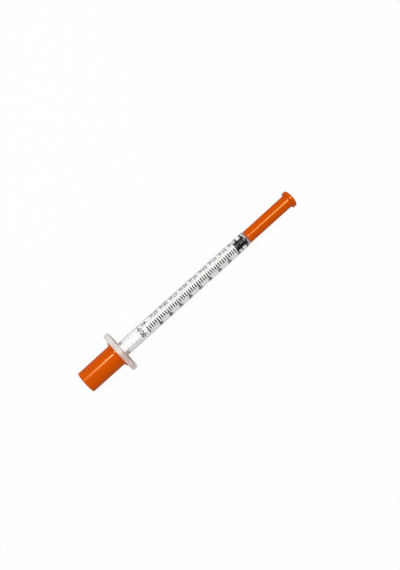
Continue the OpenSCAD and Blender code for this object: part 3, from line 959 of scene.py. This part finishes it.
def table_material():
    """White paper that the camera sees nearly as plain white, with a faint shadow, and with a painted
    shadow of the barrel that clear pieces see.
    """
    material = bpy.data.materials.new("white_table")
    material.use_nodes = True
    tree = material.node_tree
    tree.nodes.clear()
    path = node(tree, "ShaderNodeLightPath")
    place = node(tree, "ShaderNodeTexCoord")
    away = node(tree, "ShaderNodeVectorMath", operation="DISTANCE", in_0=place.outputs["Object"],
                in_1=VIEW_CENTRE * MM)
    fade = node(tree, "ShaderNodeMapRange", in_Value=away.outputs["Value"],
                in_From_Min=TABLE_FADE[0] * MM, in_From_Max=TABLE_FADE[1] * MM)
    part = node(tree, "ShaderNodeSeparateXYZ", in_Vector=place.outputs["Object"])
    # Painted shadow of the barrel: the table's glow for clear pieces, darker towards -Y
    painted_shadow = node(tree, "ShaderNodeMapRange", in_Value=part.outputs["Y"], in_From_Min=PAINTED_SHADOW_TO * MM,
                  in_From_Max=PAINTED_SHADOW_FROM * MM, in_To_Min=PAINTED_SHADOW_LEVEL)
    near = value_by_ray(tree, path, plain=0.0, reflected=REFLECTED_SHARE, clear=CLEAR_SHARE,
                        seen=SEEN_SHARE)
    faded = node(tree, "ShaderNodeMath", operation="MAXIMUM", in_0=fade.outputs[0], in_1=near)
    seen_at_all = node(tree, "ShaderNodeMath", operation="SUBTRACT", in_0=1.0,
                       in_1=path.outputs["Is Diffuse Ray"])
    whole = node(tree, "ShaderNodeMath", operation="MULTIPLY", in_0=faded.outputs[0],
                 in_1=seen_at_all.outputs[0])
    paper = node(tree, "ShaderNodeBsdfDiffuse", in_Color=PAPER)
    strength = value_by_ray(tree, path, plain=1.0, reflected=REFLECTED_LOW, clear=painted_shadow.outputs[0],
                            seen=1.0)
    glow = node(tree, "ShaderNodeEmission", in_Strength=strength)
    mix = node(tree, "ShaderNodeMixShader", in_0=whole.outputs[0], in_1=paper.outputs[0],
               in_2=glow.outputs[0])
    node(tree, "ShaderNodeOutputMaterial", in_Surface=mix.outputs[0])
    material.cycles.emission_sampling = "NONE"
    return material


def make_table():
    """A round white table under the flange's flat side and the shield's head."""
    low = Vector((-FLANGE_EDGE, 0, FLANGE_EDGE - FLANGE_FLAT))
    high = Vector((shield_high.x - HEAD_EDGE, 0, HEAD_EDGE - HEAD_R))
    slope = math.atan2(high.z - low.z, high.x - low.x)
    up = Vector((-math.sin(slope), 0, math.cos(slope)))
    disc = bmesh.new()
    bmesh.ops.create_circle(disc, cap_ends=True, segments=TABLE_SEGMENTS, radius=TABLE_R)
    bmesh.ops.translate(disc, verts=disc.verts, vec=Vector((VIEW_CENTRE.x, VIEW_CENTRE.y, 0)))
    mesh = bpy.data.meshes.new("table")
    disc.to_mesh(mesh)
    disc.free()
    mesh.transform(Matrix.Translation(low - up * FLANGE_EDGE) @ Matrix.Rotation(-slope, 4, "Y"))
    mesh.transform(Matrix.Scale(MM, 4))
    mesh.materials.append(table_material())
    table = bpy.data.objects.new("table", mesh)
    bpy.context.scene.collection.objects.link(table)


def make_world():
    """Plain fill light. The backdrop is white low down and the ceiling is dim."""
    world = bpy.data.worlds.new("studio")
    world.cycles.sampling_method = "NONE"
    bpy.context.scene.world = world
    world.use_nodes = True
    tree = world.node_tree
    background = node_of(tree, "BACKGROUND")
    path = node(tree, "ShaderNodeLightPath")
    direction = node(tree, "ShaderNodeTexCoord")
    part = node(tree, "ShaderNodeSeparateXYZ", in_Vector=direction.outputs["Generated"])
    inside = node(tree, "ShaderNodeMath", operation="MINIMUM", in_0=path.outputs["Diffuse Depth"],
                  in_1=1.0)
    overhead = node(tree, "ShaderNodeMix", data_type="FLOAT", in_Factor=inside.outputs[0],
                    in_2=REFLECTED_HIGH, in_3=INNER_FILL)
    reflected = node(tree, "ShaderNodeMapRange", in_Value=part.outputs["Z"],
                     in_From_Min=-HORIZON_BAND, in_From_Max=HORIZON_BAND,
                     in_To_Min=REFLECTED_LOW, in_To_Max=REFLECTED_HIGH)
    clear = node(tree, "ShaderNodeMapRange", in_Value=part.outputs["Z"],
                 in_From_Min=-HORIZON_BAND, in_From_Max=HORIZON_BAND,
                 in_To_Min=1.0, in_To_Max=overhead.outputs[0])
    strength = value_by_ray(tree, path, plain=FILL, reflected=reflected.outputs[0],
                            clear=clear.outputs[0], seen=1.0)
    tree.links.new(strength, background.inputs["Strength"])
    background.inputs["Color"].default_value = (1, 1, 1, 1)


def view_axes():
    """The photograph's right and forward directions."""
    forward = Vector((math.sin(VIEW_TILT), 0, -math.cos(VIEW_TILT)))
    along = (Vector((1, 0, 0)) - forward * forward.x).normalized()
    aside = Vector((0, 1, 0))
    right = along * math.cos(SLANT) - aside * math.sin(SLANT)
    return right, forward


RIGHT, FORWARD = view_axes()


def aimed(place, target, roll_axis):
    """The turn of a lamp or camera at place that looks at target, its own X along roll_axis."""
    back = (place - target).normalized()
    across = (roll_axis - back * roll_axis.dot(back)).normalized()
    return Matrix((across, back.cross(across), back)).transposed().to_4x4()


def make_camera():
    """The photograph's camera."""
    data = bpy.data.cameras.new("camera")
    data.sensor_width = SENSOR_WIDTH
    data.lens = FOCAL_PIXELS * data.sensor_width / max(FRAME_SIZE)
    data.clip_start, data.clip_end = CLIP_METRES
    camera = bpy.data.objects.new("camera", data)
    place = VIEW_CENTRE - FORWARD * VIEW_DISTANCE
    camera.matrix_world = Matrix.Translation(place * MM) @ aimed(place, VIEW_CENTRE, RIGHT)
    bpy.context.scene.collection.objects.link(camera)
    bpy.context.scene.camera = camera


def make_lamp(name, place, target, size, power, glossy=True, diffuse=True, lit=None):
    """An area lamp, its own X along the syringe. Lengths are in millimetres and the power is in
    watts. lit are the only pieces that it lights."""
    data = bpy.data.lights.new(name, "AREA")
    data.shape = "RECTANGLE"
    data.size, data.size_y = size[0] * MM, size[1] * MM
    data.energy = power
    data.cycles.max_bounces = SHINE_BOUNCES if glossy else LIGHT_BOUNCES
    lamp = bpy.data.objects.new(name, data)
    place, target = Vector(place), Vector(target)
    lamp.matrix_world = Matrix.Translation(place * MM) @ aimed(place, target, Vector((1, 0, 0)))
    lamp.visible_camera = False
    lamp.visible_transmission = False
    lamp.visible_glossy = glossy
    lamp.visible_diffuse = diffuse
    bpy.context.scene.collection.objects.link(lamp)
    if lit:
        lamp.light_linking.receiver_collection = bpy.data.collections.new(name + "_lights")
        for made in lit:
            lamp.light_linking.receiver_collection.objects.link(made)


make_table()
make_world()
make_camera()
make_lamp("overhead", place=(-18, 168, 697), target=VIEW_CENTRE, size=(500, 400), power=4.2,
          glossy=False)
make_lamp("cap_strip", place=(-75, 296, 580), target=(-14, 0, 0), size=(160, 55), power=6.6,
          diffuse=False, lit=[cap])
make_lamp("shield_strip", place=(205, 60, 600), target=(80, 0, 0), size=(190, 55), power=5.6,
          diffuse=False, lit=[needle, stopper, rod, shield])
make_lamp("flange_fill", place=(350, -150, 250), target=(0, 0, 0), size=(300, 300), power=0.25,
          glossy=False, lit=[barrel])
make_lamp("barrel_strip", place=(20, 170, 600), target=(30, 0, 0), size=(500, 200), power=0.95,
          diffuse=False, lit=[barrel])

scene = bpy.context.scene
scene.view_settings.view_transform = "Standard"
